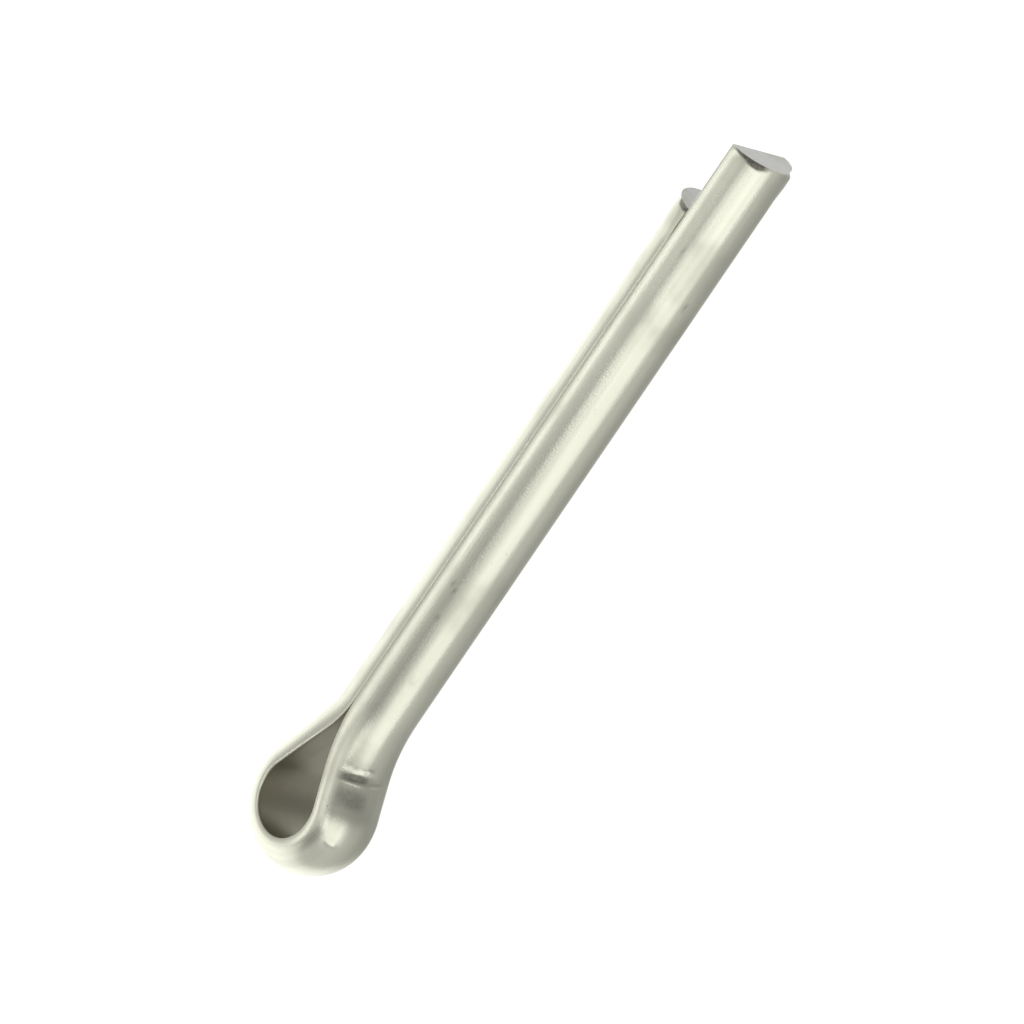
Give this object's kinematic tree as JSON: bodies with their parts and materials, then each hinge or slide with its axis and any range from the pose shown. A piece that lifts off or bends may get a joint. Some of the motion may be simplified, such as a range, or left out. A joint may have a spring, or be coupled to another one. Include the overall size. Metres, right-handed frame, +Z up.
{
  "type": "cotter pin",
  "caption": "Split cotter pin bent from half-round wire, with a looped eye and legs of unequal length that spread to lock a nut or clevis pin through its cross hole.",
  "frame": {"origin": "under the middle of the pin, on the surface it lies on: the middle of the bounding box in X and Y, at its bottom", "axes": "+X along the pin, from the eye towards the tips of the legs; +Z up, square to the plane that the wire is bent in; the long leg is on the -Y side"},
  "size_m": [0.0406, 0.0064, 0.0036],
  "materials": {
    "drawn_steel": "satin drawn steel wire, slightly warm in tone, with fine lengthwise draw lines, small pits and sheared ends"
  },
  "bodies": {
    "root": {"cotter_pin": "drawn_steel"}
  },
  "joints": []
}
